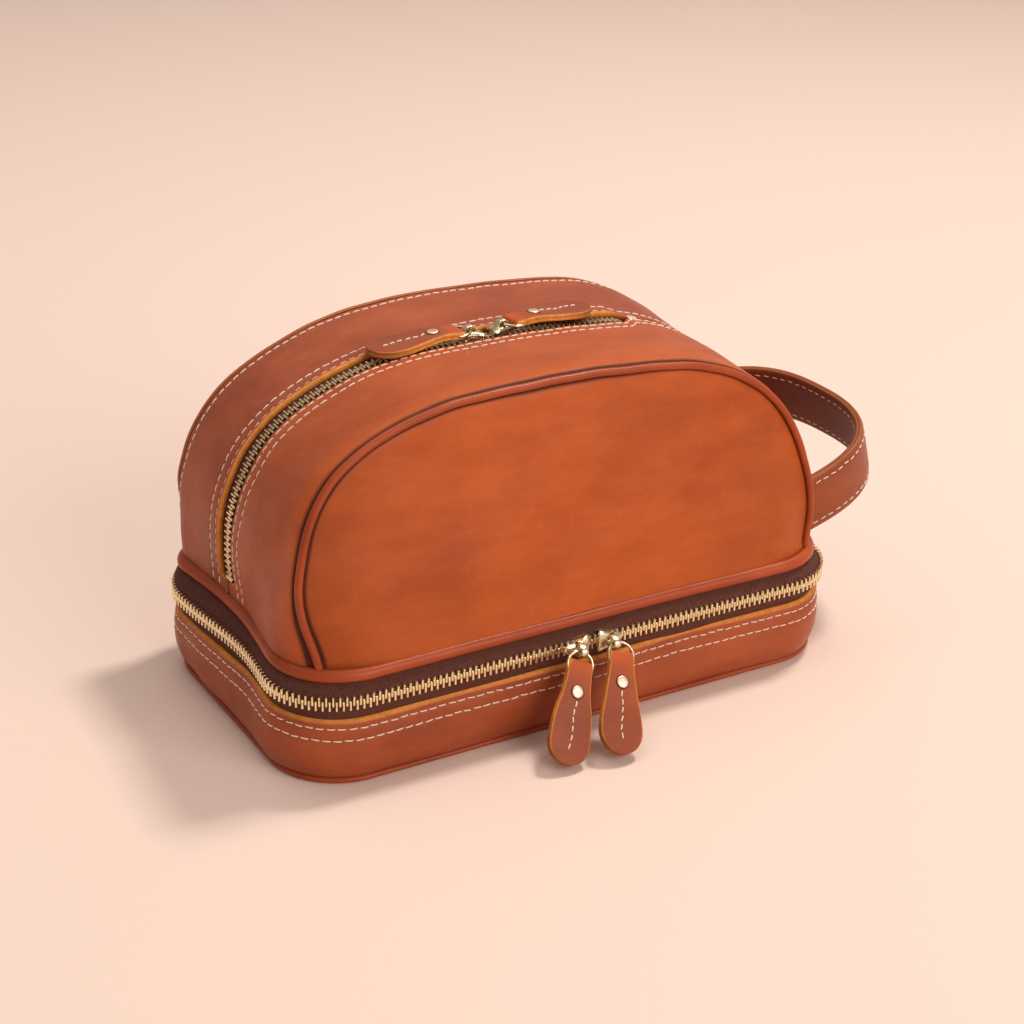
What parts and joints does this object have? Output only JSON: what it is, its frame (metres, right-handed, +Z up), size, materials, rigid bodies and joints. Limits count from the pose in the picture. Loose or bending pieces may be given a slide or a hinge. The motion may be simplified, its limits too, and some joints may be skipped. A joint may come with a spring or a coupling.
{
  "type": "toiletry bag",
  "caption": "Leather wash bag: a domed, zipped upper case hinged to a shallow zip-round base tray, with a side strap and leather zip pulls.",
  "frame": {"origin": "middle of the base panel's underside, on the surface that the bag stands on", "axes": "+X along the length towards the side strap, -Y towards the front with the hanging zip pulls, +Z up"},
  "size_m": [0.3024, 0.1717, 0.1416],
  "materials": {
    "cognac_leather": "oiled cognac cowhide, softly glossy",
    "front_leather": "smoother and more orange cowhide, mottled",
    "welt_leather": "thin cowhide wrapped over a cord, glossy",
    "hinge_leather": "oiled cognac cowhide",
    "strap_leather": "folded cowhide strap, burnished edges",
    "strap_lining_leather": "darker brown leather lining",
    "tab_leather": "two-layer cowhide with raw tan edges",
    "stiffener_board": "thin fibre board",
    "lining_cloth": "plain woven brown lining",
    "zip_tape": "dark brown herringbone tape",
    "zip_teeth": "polished gold brass",
    "slider_brass": "antique brass, polished on its edges",
    "ring_brass": "drawn antique brass wire",
    "rivet_brass": "polished brass dome"
  },
  "bodies": {
    "base": {"base_panel": "cognac_leather", "base_stiffener": "stiffener_board", "base_welt": "welt_leather", "base_band": "cognac_leather", "base_lining": "lining_cloth", "base_zip_lower_tape": "zip_tape", "base_zip_lower_teeth": "zip_teeth", "base_zip_lower_stops": "zip_teeth", "hinge_strip_lower": "hinge_leather"},
    "upper_case": {"base_zip_upper_tape": "zip_tape", "base_zip_upper_teeth": "zip_teeth", "base_zip_upper_stops": "zip_teeth", "hinge_strip_upper": "hinge_leather", "body_welt": "welt_leather", "divider_floor": "cognac_leather", "front_panel": "front_leather", "front_piping": "welt_leather", "front_gusset": "cognac_leather", "rear_gusset": "cognac_leather", "rear_panel": "cognac_leather", "top_zip_front_tape": "zip_tape", "top_zip_rear_tape": "zip_tape", "top_zip_front_teeth": "zip_teeth", "top_zip_rear_teeth": "zip_teeth", "case_lining": "lining_cloth"},
    "handle": {"handle_outer_layer": "strap_leather", "handle_inner_layer": "strap_lining_leather"},
    "base_left_slider_body": {"base_left_slider": "slider_brass"},
    "base_left_pull_body": {"base_left_pull_ring": "ring_brass", "base_left_pull_tab": "tab_leather", "base_left_pull_rivet": "rivet_brass"},
    "base_right_slider_body": {"base_right_slider": "slider_brass"},
    "base_right_pull_body": {"base_right_pull_ring": "ring_brass", "base_right_pull_tab": "tab_leather", "base_right_pull_rivet": "rivet_brass"},
    "top_left_slider_body": {"top_left_slider": "slider_brass"},
    "top_left_pull_body": {"top_left_pull_ring": "ring_brass", "top_left_pull_tab": "tab_leather", "top_left_pull_rivet": "rivet_brass"},
    "top_right_slider_body": {"top_right_slider": "slider_brass"},
    "top_right_pull_body": {"top_right_pull_ring": "ring_brass", "top_right_pull_tab": "tab_leather", "top_right_pull_rivet": "rivet_brass"}
  },
  "joints": [
    {"name": "case_hinge", "type": "hinge", "parent": "base", "child": "upper_case", "pos_m": [0, 0.0681, 0.0358], "axis": [-1, 0, 0], "range_deg": [0, 100]},
    {"name": "handle_flex", "type": "hinge", "parent": "upper_case", "child": "handle", "pos_m": [0.1275, 0.01, 0.062], "axis": [0, -1, 0], "range_deg": [-10, 10], "stiffness_Nm_per_rad": 0.6},
    {"name": "base_left_slide", "type": "slide", "parent": "base", "child": "base_left_slider_body", "axis": [-1, 0, 0], "range_m": [0, 0.078]},
    {"name": "base_left_pull_swing", "type": "hinge", "parent": "base_left_slider_body", "child": "base_left_pull_body", "pos_m": [-0.009, -0.0738, 0.0358], "axis": [-0.8846, 0.2615, 0.3862], "range_deg": [0, 110]},
    {"name": "base_right_slide", "type": "slide", "parent": "base", "child": "base_right_slider_body", "axis": [1, 0, 0], "range_m": [0, 0.081]},
    {"name": "base_right_pull_swing", "type": "hinge", "parent": "base_right_slider_body", "child": "base_right_pull_body", "pos_m": [0.006, -0.0738, 0.0358], "axis": [-0.9298, 0.2376, 0.2812], "range_deg": [0, 110]},
    {"name": "top_left_slide", "type": "hinge", "parent": "upper_case", "child": "top_left_slider_body", "pos_m": [0, 0.014, -0.3024], "axis": [0, -1, 0], "range_deg": [0, 5.79]},
    {"name": "top_left_pull_swing", "type": "hinge", "parent": "top_left_slider_body", "child": "top_left_pull_body", "pos_m": [-0.01164, 0.014, 0.13955], "axis": [0, 1, 0], "range_deg": [0, 80]},
    {"name": "top_right_slide", "type": "hinge", "parent": "upper_case", "child": "top_right_slider_body", "pos_m": [0, 0.014, -0.3024], "axis": [0, 1, 0], "range_deg": [0, 6.84]},
    {"name": "top_right_pull_swing", "type": "hinge", "parent": "top_right_slider_body", "child": "top_right_pull_body", "pos_m": [0.00354, 0.014, 0.13969], "axis": [0, -1, 0], "range_deg": [0, 80]}
  ]
}
